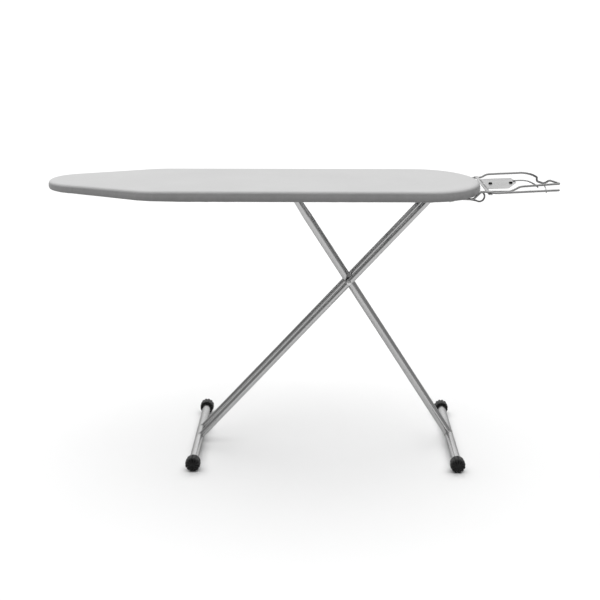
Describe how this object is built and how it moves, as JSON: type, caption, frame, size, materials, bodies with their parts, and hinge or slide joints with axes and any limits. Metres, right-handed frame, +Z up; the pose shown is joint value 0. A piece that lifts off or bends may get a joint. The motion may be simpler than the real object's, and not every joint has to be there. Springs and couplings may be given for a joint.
{
  "type": "ironing board",
  "caption": "Folding ironing board with a padded fabric top, crossed tube legs, foot bars with rubber caps and a wire iron rest.",
  "frame": {"origin": "on the floor, at the middle of the whole object (nose tip to end of the iron rest, and between the feet caps)", "axes": "+X from the nose to the iron rest, +Y to the back, +Z up"},
  "size_m": [1.435, 0.48, 0.7987],
  "materials": {
    "cover_fabric": "woven cotton, light grey",
    "pad_foam": "foam padding, off-white",
    "elastic": "braided elastic, white",
    "deck_steel": "satin silver-grey paint",
    "fastener_steel": "zinc plated",
    "dark_plastic": "moulded, dark",
    "nylon": "moulded nylon",
    "rest_sheet": "satin plated sheet",
    "rest_wire": "plated wire",
    "cap_rubber": "ribbed, black",
    "lever_wire": "plated wire",
    "leg_tube": "plated tube"
  },
  "bodies": {
    "board": {"fabric_cover": "cover_fabric", "foam_pad": "pad_foam", "hem_elastic": "elastic", "deck_sheet": "deck_steel", "edge_rim": "deck_steel", "cross_rib_1": "deck_steel", "cross_rib_2": "deck_steel", "cross_rib_3": "deck_steel", "cross_rib_4": "deck_steel", "cross_rib_5": "deck_steel", "height_rail": "deck_steel", "hinge_bracket_front": "deck_steel", "hinge_bracket_rear": "deck_steel", "hinge_pin_front": "fastener_steel", "hinge_pin_rear": "fastener_steel", "rest_frame_wire": "rest_wire", "rest_front_wire": "rest_wire", "rest_inner_wire": "rest_wire", "rest_cross_wire": "rest_wire", "rest_cross_bar": "rest_sheet", "rest_plate": "rest_sheet", "rest_plate_plugs": "cap_rubber", "rest_clamp_front": "dark_plastic", "rest_clamp_rear": "dark_plastic", "rest_screws": "fastener_steel", "lever_spring": "fastener_steel"},
    "outer_leg": {"outer_leg_tube_front": "leg_tube", "outer_leg_tube_rear": "leg_tube", "outer_foot_tube": "leg_tube", "outer_foot_cap_front": "cap_rubber", "outer_foot_cap_rear": "cap_rubber", "crossing_bolt": "fastener_steel", "crossing_nut": "fastener_steel", "crossing_spacer_front": "dark_plastic", "crossing_spacer_rear": "dark_plastic"},
    "inner_leg": {"inner_leg_tube": "leg_tube", "inner_foot_tube": "leg_tube", "inner_foot_cap_front": "cap_rubber", "inner_foot_cap_rear": "cap_rubber", "crossing_bush": "dark_plastic", "slide_axle": "fastener_steel", "slide_roller_front": "nylon", "slide_roller_rear": "nylon", "axle_clips": "fastener_steel"},
    "lever": {"height_lever": "lever_wire"}
  },
  "joints": [
    {"name": "leg_fold", "type": "hinge", "parent": "board", "child": "outer_leg", "pos_m": [0.3605, 0, 0.748], "axis": [0, 1, 0], "range_deg": [0, 47.4]},
    {"name": "leg_crossing", "type": "hinge", "parent": "outer_leg", "child": "inner_leg", "pos_m": [0.13287, 0, 0.50045], "axis": [0, 1, 0], "range_deg": [-104.81, 0]},
    {"name": "lever_squeeze", "type": "hinge", "parent": "board", "child": "lever", "pos_m": [0.0425, -0.07, 0.775], "axis": [-1, 0, 0], "range_deg": [0, 8], "stiffness_Nm_per_rad": 1, "springref_deg": -17.19}
  ],
  "couplings": [
    {"joint": "leg_crossing", "follows": "leg_fold", "ratio": -2.211}
  ]
}
